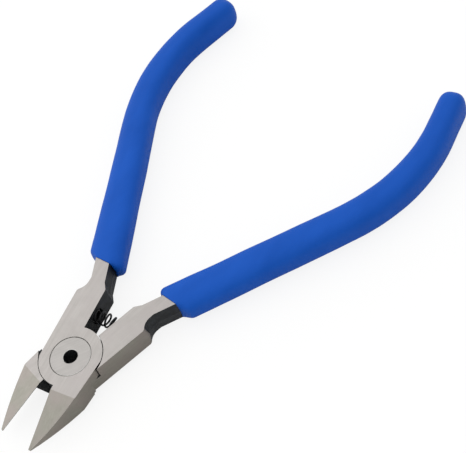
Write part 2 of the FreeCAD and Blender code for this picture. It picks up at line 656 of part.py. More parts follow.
def make_grip(name, half, turned):
    """A dipped sleeve: a swept bar, trimmed square at the dip line, that fits the tang closely."""
    skin = new_body(name + "_bar")
    path = new_sketch(skin, "Path")
    straight = SIZE["handle_straight"]
    radius = SIZE["handle_bend_radius"]
    bend = math.radians(SIZE["handle_bend"])
    tail = SIZE["grip_end_straight"]
    b = cell("handle_bend") + " * 1deg"
    bend_x = "%s * (1 - cos(%s))" % (cell("handle_bend_radius"), b)
    bend_y = "%s + %s * sin(%s)" % (cell("handle_straight"), cell("handle_bend_radius"), b)
    end = (radius * (1 - math.cos(bend)), straight + radius * math.sin(bend))
    corners = [
        Corner(0, 0, "0", "0"),
        Corner(0, straight, "0", cell("handle_straight")),
        Corner(end[0], end[1], bend_x, bend_y),
        Corner(
            end[0] + tail * math.sin(bend),
            end[1] + tail * math.cos(bend),
            "%s + %s * sin(%s)" % (bend_x, cell("grip_end_straight"), b),
            "%s + %s * cos(%s)" % (bend_y, cell("grip_end_straight"), b),
        ),
    ]
    bends = {1: Bend((radius, straight), cell("handle_bend_radius"), anticlockwise=False)}
    draw_outline(path, corners, bends, closed=False)

    mouth = new_sketch(skin, "MouthSection", role="XZ_Plane")
    draw_rounded_rectangle(mouth, "grip_width", "grip_height", "grip_corner_radius")
    finish = new_sketch(skin, "EndSection", role="XZ_Plane")
    last = corners[-1]
    finish.AttachmentOffset = FreeCAD.Placement(
        FreeCAD.Vector(last.x, 0, -last.y),
        FreeCAD.Rotation(FreeCAD.Vector(0, 1, 0), -SIZE["handle_bend"]),
    )
    draw_rounded_rectangle(finish, "grip_end_width", "grip_end_height", "grip_corner_radius")
    pipe = skin.newObject("PartDesign::AdditivePipe", "Sweep")
    pipe.Profile = mouth
    pipe.Spine = path
    pipe.Transformation = "Multisection"
    pipe.Sections = [finish]
    doc.recompute()

    rims = []
    end_point = FreeCAD.Vector(last.x, last.y, 0)
    end_direction = FreeCAD.Vector(math.sin(bend), math.cos(bend), 0)
    for index, edge in enumerate(pipe.Shape.Edges, start=1):
        from_end = edge.CenterOfMass - end_point
        in_end_plane = abs(from_end.dot(end_direction)) < SAME_PLACE
        if in_end_plane and from_end.Length < SIZE["grip_end_height"]:
            rims.append("Edge%d" % index)
    rounded = skin.newObject("PartDesign::Fillet", "RoundedEnd")
    rounded.Base = (pipe, rims)
    rounded.setExpression("Radius", cell("grip_end_radius"))
    doc.recompute()

    angle = SIZE["handle_angle"]
    start = FreeCAD.Vector(SIZE["handle_x"], SIZE["handle_y"], 0)
    along = FreeCAD.Placement(start, FreeCAD.Rotation(FreeCAD.Vector(0, 0, 1), angle))
    skin.Placement = half_placement(turned).multiply(along)

    trim = doc.addObject("Part::Box", name + "_trim")
    for side in ("Length", "Width", "Height"):
        trim.setExpression(side, cell("grip_trim_size"))
    block = SIZE["grip_trim_size"]
    block_corner = FreeCAD.Vector(-block / 2, SIZE["grip_mouth_y"] - block, -block / 2)
    to_block = FreeCAD.Placement(block_corner, FreeCAD.Rotation())
    trim.Placement = half_placement(turned).multiply(to_block)

    trimmed = doc.addObject("Part::Cut", name + "_trimmed")
    trimmed.Base = skin
    trimmed.Tool = trim
    doc.recompute()

    grip = doc.addObject("Part::Cut", name)
    grip.Base = trimmed
    grip.Tool = half
    grip.Label = name
    doc.recompute()
    return grip


# ---------------------------------------------------------------- rivet
def make_rivet():
    body = new_body("pivot_rivet")
    sketch = new_sketch(body, "HalfSection", role="XZ_Plane")
    bore = SIZE["rivet_bore"] / 2
    shank = SIZE["rivet_shank"] / 2
    head = SIZE["rivet_head"] / 2
    face = SIZE["thickness"] / 2
    under = face - SIZE["rivet_head_depth"]
    bore_rule = cell("rivet_bore") + " / 2"
    shank_rule = cell("rivet_shank") + " / 2"
    head_rule = cell("rivet_head") + " / 2"
    face_rule = "(%s / 2)" % cell("thickness")
    under_rule = "(%s / 2 - %s)" % (cell("thickness"), cell("rivet_head_depth"))
    corners = [
        Corner(bore, -face, bore_rule, "-" + face_rule),
        Corner(head, -face, head_rule, "-" + face_rule),
        Corner(head, -under, head_rule, "-" + under_rule),
        Corner(shank, -under, shank_rule, "-" + under_rule),
        Corner(shank, under, shank_rule, under_rule),
        Corner(head, under, head_rule, under_rule),
        Corner(head, face, head_rule, face_rule),
        Corner(bore, face, bore_rule, face_rule),
    ]
    draw_outline(sketch, corners)
    turn = body.newObject("PartDesign::Revolution", "Turned")
    turn.Profile = sketch
    turn.ReferenceAxis = (sketch, ["V_Axis"])
    turn.Angle = 360
    doc.recompute()
    rims = []
    for index, edge in enumerate(turn.Shape.Edges, start=1):
        level = edge.BoundBox.ZLength < SAME_PLACE
        if level and abs(abs(edge.BoundBox.ZMax) - face) < SAME_PLACE:
            rims.append("Edge%d" % index)
    chamfer = body.newObject("PartDesign::Chamfer", "EdgeBreak")
    chamfer.Base = (turn, rims)
    chamfer.setExpression("Size", cell("rivet_edge_break"))
    doc.recompute()
    return body


# ---------------------------------------------------------------- return spring
def make_spring():
    """A coil whose axis is an arc about the pivot, from one blind seat to the other."""
    coil = (SIZE["spring_coil_diameter"] - SIZE["spring_wire"]) / 2
    axis_radius = SIZE["spring_radius"]
    face = -(SIZE["inner_face_low_x"] + SIZE["inner_face_top_x"]) / 2
    inside = SIZE["seat_depth"] - SIZE["seat_end_gap"] - SIZE["spring_wire"] / 2
    reach = math.radians(SIZE["half_opening"]) + math.atan2(face + inside, axis_radius)
    turns = SIZE["spring_turns"]
    steps = int(turns * SIZE["spring_points_per_turn"])
    points = []
    for step in range(steps + 1):
        share = step / steps
        around = 2 * math.pi * turns * share
        along = math.pi / 2 + reach * (1 - 2 * share)
        out = axis_radius + coil * math.cos(around)
        up = coil * math.sin(around)
        points.append(FreeCAD.Vector(out * math.cos(along), out * math.sin(along), up))
    curve = Part.BSplineCurve()
    curve.interpolate(points)
    spine = Part.Wire([curve.toShape()])
    tangent = curve.tangent(curve.FirstParameter)[0]
    section = Part.Wire([Part.Edge(Part.Circle(points[0], tangent, SIZE["spring_wire"] / 2))])
    solid = spine.makePipeShell([section], True, True)
    if solid.Volume < 0:
        solid.reverse()
    spring = doc.addObject("Part::Feature", "return_spring")
    spring.Label = "return_spring"
    spring.Shape = solid
    spring.Placement = FreeCAD.Placement()
    return spring


front_half = make_half("front_half", turned=False)
rear_half = make_half("rear_half", turned=True)
left_grip = make_grip("left_grip", front_half, turned=False)
right_grip = make_grip("right_grip", rear_half, turned=True)
pivot_rivet = make_rivet()
return_spring = make_spring()
doc.recompute()

# ---------------------------------------------------------------- check and write
for item in doc.Objects:
    if "Invalid" in item.State or "Error" in item.State:
        raise RuntimeError("%s is in state %s" % (item.Name, item.State))

os.makedirs("parts", exist_ok=True)
for part in (front_half, rear_half, left_grip, right_grip, pivot_rivet, return_spring):
    shape = part.Shape
    if shape.isNull() or not shape.isValid():
        raise RuntimeError(part.Label + " has no valid shape")
    shape.exportStep("parts/%s.step" % part.Label)
    box = shape.BoundBox
    print(part.Label, len(shape.Solids), round(shape.Volume, 2),
          [round(v, 2) for v in (box.XMin, box.XMax, box.YMin, box.YMax, box.ZMin, box.ZMax)])
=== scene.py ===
import json
import math

import bmesh
import bpy
from mathutils import Matrix, Vector, noise


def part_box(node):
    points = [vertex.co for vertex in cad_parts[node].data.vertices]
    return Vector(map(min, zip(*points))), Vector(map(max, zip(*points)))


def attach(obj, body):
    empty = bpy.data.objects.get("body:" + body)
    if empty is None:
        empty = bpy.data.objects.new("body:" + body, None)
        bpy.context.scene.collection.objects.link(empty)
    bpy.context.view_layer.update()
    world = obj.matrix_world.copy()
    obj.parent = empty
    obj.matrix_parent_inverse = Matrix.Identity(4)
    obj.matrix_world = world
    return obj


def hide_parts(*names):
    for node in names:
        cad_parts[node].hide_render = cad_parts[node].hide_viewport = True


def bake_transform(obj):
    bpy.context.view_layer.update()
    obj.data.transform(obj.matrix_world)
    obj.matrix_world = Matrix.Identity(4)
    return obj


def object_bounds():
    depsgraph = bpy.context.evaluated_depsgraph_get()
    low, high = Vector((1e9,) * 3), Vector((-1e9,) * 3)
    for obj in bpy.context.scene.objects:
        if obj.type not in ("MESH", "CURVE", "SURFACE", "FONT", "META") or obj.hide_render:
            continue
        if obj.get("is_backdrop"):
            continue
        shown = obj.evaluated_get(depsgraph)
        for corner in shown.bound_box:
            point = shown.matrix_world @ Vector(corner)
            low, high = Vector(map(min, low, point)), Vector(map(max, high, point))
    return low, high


# The looks of a pair of small flush-cutting nippers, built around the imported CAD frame.
# Both steel halves and the rivet are refined copies of their CAD solids, with broken edges and one
# finish per ground or forged surface. The grips and the return spring are new meshes.

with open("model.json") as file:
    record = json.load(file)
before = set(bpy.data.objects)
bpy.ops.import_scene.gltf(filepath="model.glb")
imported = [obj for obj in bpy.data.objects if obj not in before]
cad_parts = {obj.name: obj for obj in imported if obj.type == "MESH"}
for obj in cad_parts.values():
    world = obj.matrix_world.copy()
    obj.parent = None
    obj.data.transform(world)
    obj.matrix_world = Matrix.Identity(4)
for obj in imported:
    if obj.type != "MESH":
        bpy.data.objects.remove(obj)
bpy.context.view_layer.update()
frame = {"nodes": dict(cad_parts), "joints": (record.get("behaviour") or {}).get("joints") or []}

MM = 0.001

# ---------------------------------------------------------------- driving dimensions, millimetres
HALF_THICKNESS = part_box("front_half")[1].z / MM
HALF_OPENING = math.radians(frame["joints"][0]["range_deg"][1]) / 2

HANDLE_START = (-4.58, 20.3)
HANDLE_ANGLE = math.radians(19.1)
HANDLE_STRAIGHT = 42.9
HANDLE_BEND_RADIUS = 40.3
HANDLE_BEND = math.radians(42.6)
HANDLE_END_STRAIGHT = 10.4

TANG_END_STRAIGHT = 3.0
TANG_HALF_WIDTH = 2.05
TANG_DRAFT = math.radians(8.0)
TANG_HALF_THICKNESS = 2.45

SPRING_AXIS_RADIUS = 11.3
SEAT_MOUTH = 0.85

# Each half has its own frame, in which the jaws are shut and the cutting edge lies on x = 0.
FRONT_TO_ROW = Matrix.Rotation(HALF_OPENING, 4, "Z")
REAR_TO_ROW = Matrix.Rotation(-HALF_OPENING, 4, "Z") @ Matrix.Rotation(math.pi, 4, "Y")


# ---------------------------------------------------------------- material helpers
class Finish:
    """A Principled material with short calls for the nodes that the finishes share."""

    def __init__(self, name):
        self.material = bpy.data.materials.new(name)
        self.material.use_nodes = True
        self.nodes = self.material.node_tree.nodes
        self.links = self.material.node_tree.links
        self.shader = self.nodes["Principled BSDF"]
        self.position = self.nodes.new("ShaderNodeTexCoord").outputs["Object"]

    def set(self, **values):
        for label, value in values.items():
            self.shader.inputs[label.replace("_", " ")].default_value = value

    def drive(self, label, socket):
        self.links.new(socket, self.shader.inputs[label])

    def stretched(self, turn, feature):
        """The object's position, turned about Z and divided by a feature size along each axis."""
        turned = self.nodes.new("ShaderNodeMapping")
        turned.inputs["Rotation"].default_value = (0, 0, turn)
        self.links.new(self.position, turned.inputs["Vector"])
        scaled = self.nodes.new("ShaderNodeMapping")
        scaled.inputs["Scale"].default_value = [1 / (size * MM) for size in feature]
        self.links.new(turned.outputs["Vector"], scaled.inputs["Vector"])
        return scaled.outputs["Vector"]

    def noise(self, feature, turn=0.0, detail=3.0, seed=0.0):
        """Noise from about 0 to 1, with features of the given sizes in millimetres."""
        node = self.nodes.new("ShaderNodeTexNoise")
        node.noise_dimensions = "4D"
        node.inputs["W"].default_value = seed
        node.inputs["Scale"].default_value = 1.0
        node.inputs["Detail"].default_value = detail
        node.inputs["Roughness"].default_value = 0.55
        self.links.new(self.stretched(turn, feature), node.inputs["Vector"])
        return node.outputs["Fac"]

    def span(self, socket, low, high, start=0.3, end=0.7):
        """The socket's start to end, mapped to low to high."""
        node = self.nodes.new("ShaderNodeMapRange")
        node.inputs["From Min"].default_value = start
        node.inputs["From Max"].default_value = end
        node.inputs["To Min"].default_value = low
        node.inputs["To Max"].default_value = high
        self.links.new(socket, node.inputs["Value"])
        return node.outputs["Result"]

    def combine(self, operation, first, second):
        node = self.nodes.new("ShaderNodeMath")
        node.operation = operation
        for index, value in enumerate((first, second)):
            if isinstance(value, (int, float)):
                node.inputs[index].default_value = value
            else:
                self.links.new(value, node.inputs[index])
        return node.outputs["Value"]

    def mix(self, share, first, second):
        """A colour between first and second."""
        node = self.nodes.new("ShaderNodeMix")
        node.data_type = "RGBA"
        self.links.new(share, node.inputs["Factor"])
        for label, colour in (("A", first), ("B", second)):
            socket = next(s for s in node.inputs if s.name == label and s.type == "RGBA")
            if isinstance(colour, tuple):
                socket.default_value = (*colour, 1.0)
            else:
                self.links.new(colour, socket)
        return next(s for s in node.outputs if s.type == "RGBA")

    def bump(self, height, depth, below=None):
        """A bump of the given depth in millimetres, on top of another bump."""
        node = self.nodes.new("ShaderNodeBump")
        node.inputs["Strength"].default_value = 1.0
        node.inputs["Distance"].default_value = depth * MM
        self.links.new(height, node.inputs["Height"])
        if below is not None:
            self.links.new(below, node.inputs["Normal"])
        return node.outputs["Normal"]


def ground_steel(name, dark, light, tint, turn):
    """Satin ground steel: fine lines one way over cloudy patches that lean to a tint."""
    finish = Finish(name)
    lines = finish.noise((0.07, 6.0, 0.07), turn=turn, detail=2.0)
    bands = finish.noise((0.45, 14.0, 0.45), turn=turn, detail=3.0, seed=3.0)
    cloud = finish.noise((2.2, 2.2, 2.2), detail=4.0, seed=7.0)
    patch = finish.noise((7.0, 7.0, 7.0), detail=2.0, seed=11.0)
    tone = finish.combine("ADD", finish.span(lines, 0.0, 0.4), finish.span(bands, 0.0, 0.35))
    tone = finish.combine("ADD", tone, finish.span(cloud, 0.0, 0.25))
    plain = finish.mix(tone, dark, light)
    finish.drive("Base Color", finish.mix(finish.span(patch, 0.0, 0.7, 0.4, 0.6), plain, tint))
    finish.drive("Roughness", finish.span(tone, 0.42, 0.30, 0.1, 0.9))
    finish.set(Metallic=1.0)
    finish.drive("Normal", finish.bump(lines, 0.0025))
    return finish.material


def rubbed_edge_and_highlight_steel():
    """The narrow broken edges: steel rubbed bright, with a base colour much lighter than the
    ground faces as a painted highlight.
    """
    finish = Finish("rubbed_edge_and_highlight_steel")
    nicks = finish.noise((0.5, 0.5, 0.5), detail=3.0)
    # Much lighter than the ground faces: painted highlight
    dark = (0.66, 0.65, 0.62)
    light = (0.84, 0.83, 0.81)
    finish.drive("Base Color", finish.mix(finish.span(nicks, 0.0, 1.0), dark, light))
    finish.drive("Roughness", finish.span(nicks, 0.22, 0.4))
    finish.set(Metallic=1.0)
    return finish.material


def painted_shade_groove_steel(name, dark, light):
    """Painted shade in the fine grooves round the rivet heads and along the lap: a dark colour
    with a mottled tone.
    """
    finish = Finish(name)
    shade_variation = finish.noise((0.9, 0.9, 0.9), detail=3.0, seed=9.0)
    finish.drive("Base Color", finish.mix(finish.span(shade_variation, 0.0, 1.0), dark, light))
    finish.drive("Roughness", finish.span(shade_variation, 0.6, 0.45))
    finish.set(Metallic=1.0)
    return finish.material


def black_oxide():
    """Forged steel under black oxide: mottled, slightly blue, with a shallow scale texture."""
    finish = Finish("black_oxide")
    mottle = finish.noise((1.4, 1.4, 1.4), detail=5.0)
    scale = finish.noise((0.22, 0.22, 0.22), detail=4.0, seed=5.0)
    dark = (0.004, 0.0045, 0.006)
    light = (0.022, 0.026, 0.029)
    finish.drive("Base Color", finish.mix(finish.span(mottle, 0.0, 1.0), dark, light))
    finish.drive("Roughness", finish.span(scale, 0.36, 0.56))
    finish.set(Metallic=0.2, Specular_IOR_Level=0.4)
    finish.drive("Normal", finish.bump(mottle, 0.05, finish.bump(scale, 0.02)))
    return finish.material


def blue_vinyl():
    """Dipped vinyl: deep blue and satin, with a faint orange peel and soft flow marks."""
    finish = Finish("blue_vinyl")
    flow = finish.noise((5.0, 12.0, 5.0), detail=3.0)
    peel = finish.noise((0.55, 0.55, 0.55), detail=2.0, seed=2.0)
    grain = finish.noise((0.12, 0.12, 0.12), detail=2.0, seed=4.0)
    dark = (0.0022, 0.078, 0.44)
    light = (0.0060, 0.093, 0.50)
    finish.drive("Base Color", finish.mix(finish.span(flow, 0.0, 1.0), dark, light))
    sheen = finish.combine("ADD", finish.span(peel, 0.0, 0.06), finish.span(flow, 0.40, 0.48))
    finish.drive("Roughness", sheen)
    finish.set(IOR=1.46, Specular_IOR_Level=0.16)
    height = finish.bump(flow, 0.05, finish.bump(peel, 0.012, finish.bump(grain, 0.002)))
    finish.drive("Normal", height)
    return finish.material


def spring_wire():
    """Black spring wire with a drawn, slightly glossy surface."""
    finish = Finish("black_spring_wire")
    drawn = finish.noise((0.1, 0.1, 0.1), detail=3.0)
    dark = (0.003, 0.003, 0.004)
    light = (0.014, 0.014, 0.016)
    finish.drive("Base Color", finish.mix(finish.span(drawn, 0.0, 1.0), dark, light))
    finish.drive("Roughness", finish.span(drawn, 0.25, 0.4))
    finish.set(Metallic=0.2, Specular_IOR_Level=0.35)
    return finish.material


# ---------------------------------------------------------------- mesh helpers
def new_piece(name, bm, materials):
    mesh = bpy.data.meshes.new(name)
    bm.to_mesh(mesh)
    bm.free()
    piece = bpy.data.objects.new(name, mesh)
    bpy.context.scene.collection.objects.link(piece)
    for material in materials:
        mesh.materials.append(material)
    return piece


def weight_normals(piece):
    """Let large faces set the shading, so that ground faces look flat up to their edges."""
    weighted = piece.modifiers.new("weighted_normals", "WEIGHTED_NORMAL")
    weighted.mode = "FACE_AREA"
    weighted.keep_sharp = True


def mark_shading(bm, angle):
    for face in bm.faces:
        face.smooth = True
    for edge in bm.edges:
        edge.smooth = len(edge.link_faces) == 2 and edge.calc_face_angle() < angle


def clean_copy(node, to_row):
    """A welded copy of a CAD node's mesh, in its half's frame, without cuts across flat faces."""
    weld_distance = 1e-6
    flat = math.radians(0.8)
    bm = bmesh.new()
    bm.from_mesh(frame["nodes"][node].data)
    bm.transform(to_row.inverted())
    bmesh.ops.remove_doubles(bm, verts=bm.verts, dist=weld_distance)
    bmesh.ops.dissolve_limit(bm, angle_limit=flat, verts=bm.verts, edges=bm.edges)
    return bm


def break_edges(bm, edges, width, slot, segments=2):
    """Bevel edges by a width in millimetres, and return the new faces."""
    made = bmesh.ops.bevel(
        bm, geom=edges, offset=width * MM, offset_type="OFFSET", segments=segments, profile=0.5,
        affect="EDGES", clamp_overlap=True, material=slot, loop_slide=True,
    )
    return set(made["faces"])


def touching(faces):
    return {other for face in faces for edge in face.edges for other in edge.link_faces}


# ---------------------------------------------------------------- steel halves
FACE, SIDE, FACET, OXIDE, EDGE, GROOVE, LAP = range(7)
SHARP = math.radians(28)
CREASE = math.radians(12)
NEAR = 0.02                 # a face or vertex this close to its nominal place is on it
LEVEL = 0.999               # a level face's normal has at least this much of Z
UPRIGHT = 0.03              # and an upright wall's normal at most this much
SIDEWAYS = 0.9              # a wall that faces sideways has more than this much of X
JAW_TOP = -7.0              # the jaw's facets and sides lie below this
SHOULDER_SIDE_X = 5.9       # the ground side above the jaw lies beyond this,
SHOULDER_SIDE_TOP = 1.6     # up to here
NECK_SIDE_X = -6.6          # the ground side of the neck lies beyond this,
NECK_SIDE_TOP = 15.0        # up to here
EDGE_BREAK = 0.09
RIVET_SEAT_RADIUS = 4.53
LAP_RECESS_RADIUS = 7.12
LAP_BREAK = 0.13
PAINTED_LAP_SHADE_START = 4.2       # below the pivot, the lap's gap gets near-black painted shade from this X on
LOBE_RADIUS = 7.0
WEDGE_BREAK = 0.12
WEDGE_START = 4.6           # the shoulder's wedge lies beyond this X
WEDGE_LOW = -6.0            # and above this Y
WAIST_LOW = 13.0            # the neck's waist lies above this Y
WAIST_BREAK = 0.5
WAIST_SEGMENTS = 3


def half_surface(face):
    """Which finish a face of a half gets, from its place and direction in the half's own frame."""
    x, y, z = face.calc_center_median() / MM
    normal = face.normal
    upright = abs(normal.z) < UPRIGHT
    if abs(abs(z) - HALF_THICKNESS) < NEAR and abs(normal.z) > LEVEL:
        return FACE
    if y < JAW_TOP and upright:
        return OXIDE if normal.x < -SIDEWAYS else SIDE
    if y < JAW_TOP:
        return FACET
    at_shoulder_side = x > SHOULDER_SIDE_X and y < SHOULDER_SIDE_TOP and normal.x > SIDEWAYS
    at_neck_side = x < NECK_SIDE_X and y < NECK_SIDE_TOP and normal.x < -SIDEWAYS
    return SIDE if upright and (at_shoulder_side or at_neck_side) else OXIDE


def sharp_edges(bm):
    return [edge for edge in bm.edges if edge.calc_face_angle() > SHARP]


def on_circle(edge, radius):
    """Whether both ends of an edge lie on a circle about the pivot."""
    return all(abs(vert.co.xy.length / MM - radius) < NEAR for vert in edge.verts)


def on_ground_face(edge):
    return FACE in {face.material_index for face in edge.link_faces}


def lap_rim(bm):
    """The edge between the ground face and the wall of the recess for the other half's lobe."""
    return [edge for edge in sharp_edges(bm)
            if on_circle(edge, LAP_RECESS_RADIUS) and on_ground_face(edge)]


def blacken_forged_corners(breaks):
    """Only a corner that a ground surface touches gets the rubbed edge finish with its painted
    highlight: the others stay black.
    """
    dark = []
    for face in breaks:
        neighbours = touching(touching([face]) & breaks) - breaks
        if all(other.material_index == OXIDE for other in neighbours):
            dark.append(face)
    for face in dark:
        face.material_index = OXIDE


def middle(edge):
    """An edge's middle point in millimetres."""
    return (edge.verts[0].co + edge.verts[1].co) / (2 * MM)


def at_painted_lap_shade(edge):
    """Whether an edge is where the lap's gap gets near-black painted shade: above the pivot or at
    the shoulder.
    """
    x, y, _ = middle(edge)
    return y > 0 or x > PAINTED_LAP_SHADE_START


def on_shoulder_wedge(edge):
    """Whether an edge borders the wedge-shaped end of the lap's gap, at the jaw's shoulder."""
    x, y, _ = middle(edge)
    at_shoulder = x > WEDGE_START and WEDGE_LOW < y < 0 and not on_circle(edge, LOBE_RADIUS)
    return at_shoulder and {face.material_index for face in edge.link_faces} == {FACE, OXIDE}


def at_waist(edge):
    """Whether an edge is the corner between the ground side and the forged waist of the neck."""
    slots = {face.material_index for face in edge.link_faces}
    return slots == {SIDE, OXIDE} and all(vert.co.y / MM > WAIST_LOW for vert in edge.verts)


def make_half(name, node, body, to_row, materials):
    bm = clean_copy(node, to_row)
    for face in bm.faces:
        face.material_index = half_surface(face)
    waist = [edge for edge in bm.edges if at_waist(edge)]
    break_edges(bm, waist, WAIST_BREAK, SIDE, WAIST_SEGMENTS)
    # Where the lap's gap lies in shade, its rim and the shoulder's wedge get a near-black painted
    # shade
    break_edges(bm, [edge for edge in lap_rim(bm) if at_painted_lap_shade(edge)], LAP_BREAK, LAP)
    wedge = [edge for edge in sharp_edges(bm) if on_shoulder_wedge(edge)]
    break_edges(bm, wedge, WEDGE_BREAK, LAP)
    # The lap's rim and the rivet seat's rim get the groove finish, a painted shade
    break_edges(bm, lap_rim(bm), EDGE_BREAK, GROOVE)
    seat_rim = [edge for edge in sharp_edges(bm) if on_circle(edge, RIVET_SEAT_RADIUS)]
    break_edges(bm, seat_rim, EDGE_BREAK, GROOVE)
    grooves = {face for face in bm.faces if face.material_index in (GROOVE, LAP)}
    plain = [edge for edge in sharp_edges(bm) if not grooves & set(edge.link_faces)]
    # The other sharp edges get the rubbed edge finish with its painted highlight
    blacken_forged_corners(break_edges(bm, plain, EDGE_BREAK, EDGE))
    mark_shading(bm, CREASE)
    bm.transform(to_row)
    piece = new_piece(name, bm, materials)
    weight_normals(piece)
    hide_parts(node)
    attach(piece, body)


# Dark lines, light lines and the patches' tint of each ground finish. The side and facet tones are
# darker than the face's as painted shade for how these faces turn from the light.
FACE_TONES = ((0.34, 0.322, 0.305), (0.45, 0.428, 0.41), (0.40, 0.372, 0.36))
# Darker than the face: painted shade on the sideways ground faces
SIDE_TONES = ((0.23, 0.222, 0.195), (0.36, 0.345, 0.30), (0.31, 0.27, 0.25))
# Darker than the face: painted shade for the facets' slope
FACET_TONES = ((0.27, 0.262, 0.228), (0.37, 0.358, 0.315), (0.36, 0.318, 0.30))
RIVET_TONES = ((0.33, 0.317, 0.303), (0.43, 0.412, 0.395), (0.39, 0.372, 0.358))

# Dark and light tones of the painted shade in the grooves and in the lap's gap
# Painted shade in the grooves round the rivet heads and along the lap's rim
GROOVE_SHADE_TONES = ((0.06, 0.055, 0.05), (0.30, 0.285, 0.27))
# Near black: painted shade for the lap's gap
LAP_SHADE_TONES = ((0.006, 0.005, 0.005), (0.03, 0.027, 0.025))


def half_materials(label, turn):
    """The finishes of one half. Its grinding lines run along the half."""
    return [
        ground_steel(label + "_face", *FACE_TONES, turn),
        ground_steel(label + "_side", *SIDE_TONES, turn),
        ground_steel(label + "_facet", *FACET_TONES, turn),
        black_oxide_finish,
        rubbed_edge_and_highlight_finish,
        groove_shade_finish,
        lap_shade_finish,
    ]


# ---------------------------------------------------------------- pivot rivet
RIVET_WALL, RIVET_CHAMFER, RIVET_GROOVE = range(FACE + 1, FACE + 4)
RIVET_HEAD_RADIUS = 4.5
RIM_BREAK = 0.13
CHAMFER_RISE = 0.3          # a chamfer's normal has more than this much of Z
RIVET_GRAIN_TURN = 0.6


def make_rivet(node, body):
    bm = clean_copy(node, Matrix.Identity(4))
    for face in bm.faces:
        centre = face.calc_center_median() / MM
        flat_end = abs(abs(centre.z) - HALF_THICKNESS) < NEAR
        chamfer = abs(face.normal.z) > CHAMFER_RISE
        face.material_index = FACE if flat_end else RIVET_CHAMFER if chamfer else RIVET_WALL
    rim = [edge for edge in sharp_edges(bm)
           if on_circle(edge, RIVET_HEAD_RADIUS) and on_ground_face(edge)]
    # The head's rim gets the groove finish, a painted shade
    break_edges(bm, rim, RIM_BREAK, RIVET_GROOVE)
    mark_shading(bm, CREASE)
    # The bore's chamfer gets the rubbed edge finish, a painted highlight round the hole
    finishes = [rivet_face_finish, black_oxide_finish, rubbed_edge_and_highlight_finish, groove_shade_finish]
    piece = new_piece("pivot_rivet_steel", bm, finishes)
    weight_normals(piece)
    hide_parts(node)
    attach(piece, body)


# ---------------------------------------------------------------- grips
GRIP_MOUTH = (-5.0, 22.75)
MOUTH_TILT = 0.12
GRIP_HALF_WIDTH = (4.24, 2.95)
GRIP_HALF_HEIGHT = (3.13, 4.15)
GRIP_EXPONENT = 2.85
GRIP_LIP = 1.7
GRIP_DOME = 3.4
LIP_FLAT = 0.12
GRIP_SIDES = 72
DOME_EXPONENT = 2.3
TANG_STEP_DEPTH = 0.3       # the tang is thicker from the mouth to this depth
NECK_RINGS = (0.2, 0.06)    # depths of the two cavity rings that lie on the thicker part
CAVITY_STEPS = 40
LIP_STEPS = 9
BODY_STEPS = 120
DOME_STEPS = 14
SHEAR_LENGTH = 14.0
CAVITY_GAP = 0.03
SWELL_LENGTH = 9.0
SWELL_HEIGHT = 0.12
RIPPLE_LENGTH = 2.4
RIPPLE_HEIGHT = 0.02


def handle_length():
    return HANDLE_STRAIGHT + HANDLE_BEND_RADIUS * HANDLE_BEND + HANDLE_END_STRAIGHT


def handle_point(distance):
    """The handle's centreline and its sideways direction, towards the other handle."""
    arc = min(max(distance - HANDLE_STRAIGHT, 0.0) / HANDLE_BEND_RADIUS, HANDLE_BEND)
    before = min(distance, HANDLE_STRAIGHT)
    after = max(distance - HANDLE_STRAIGHT - HANDLE_BEND_RADIUS * HANDLE_BEND, 0.0)
    angle = HANDLE_ANGLE - arc
    x = HANDLE_START[0] - math.sin(HANDLE_ANGLE) * before - math.sin(angle) * after
    y = HANDLE_START[1] + math.cos(HANDLE_ANGLE) * before + math.cos(angle) * after
    x -= HANDLE_BEND_RADIUS * (math.cos(angle) - math.cos(HANDLE_ANGLE))
    y += HANDLE_BEND_RADIUS * (math.sin(HANDLE_ANGLE) - math.sin(angle))
    return Vector((x, y, 0)), Vector((math.cos(angle), math.sin(angle), 0))


def superellipse(angle, half_width, half_height, exponent):
    """The point of a superellipse that lies in the direction of angle."""
    c = math.cos(angle)
    s = math.sin(angle)
    reach = (abs(c / half_width) ** exponent + abs(s / half_height) ** exponent) ** (-1 / exponent)
    return reach * c, reach * s


def tang_section(angle, half_thickness):
    """The point of the tang's six-sided section, plus a clearance, in the direction of angle."""
    c = abs(math.cos(angle))
    s = abs(math.sin(angle))
    slope = math.tan(TANG_DRAFT)
    to_side = (TANG_HALF_WIDTH + CAVITY_GAP) / (c + s * slope)
    to_face = (half_thickness + CAVITY_GAP) / s if s else to_side
    reach = min(to_side, to_face)
    return reach * math.cos(angle), reach * math.sin(angle)


def mouth_distance(sideways):
    """Distance along the handle at which a line this far off its centreline meets the mouth."""
    s = math.sin(HANDLE_ANGLE)
    c = math.cos(HANDLE_ANGLE)
    rise = GRIP_MOUTH[1] - HANDLE_START[1] - s * sideways
    rise -= MOUTH_TILT * (HANDLE_START[0] + c * sideways - GRIP_MOUTH[0])
    return rise / (c - MOUTH_TILT * s)


def place_on_handle(section, past_mouth):
    """A section point, at a distance past the mouth along its own line on the grip."""
    sideways, upward = section
    start = mouth_distance(sideways)
    share = min(past_mouth / SHEAR_LENGTH, 1.0)
    straight_start = mouth_distance(0.0)
    distance = past_mouth + straight_start + (start - straight_start) * (1 - share)
    point, across = handle_point(distance)
    return point + across * sideways + Vector((0, 0, upward))


def grip_outer(angle, past_mouth, length):
    """The vinyl's outer skin, without the lip."""
    share = past_mouth / length
    half_width = GRIP_HALF_WIDTH[0] + (GRIP_HALF_WIDTH[1] - GRIP_HALF_WIDTH[0]) * share
    half_height = GRIP_HALF_HEIGHT[0] + (GRIP_HALF_HEIGHT[1] - GRIP_HALF_HEIGHT[0]) * share
    into_dome = max(past_mouth - (length - GRIP_DOME), 0.0) / GRIP_DOME
    shrink = max(1 - into_dome ** DOME_EXPONENT, 0.0) ** (1 / DOME_EXPONENT)
    across, upward = superellipse(angle, half_width, half_height, GRIP_EXPONENT)
    return across * shrink, upward * shrink


def cavity_length(length):
    """Depth of the tang's cavity in a grip of this length."""
    return length - HANDLE_END_STRAIGHT + TANG_END_STRAIGHT + CAVITY_GAP


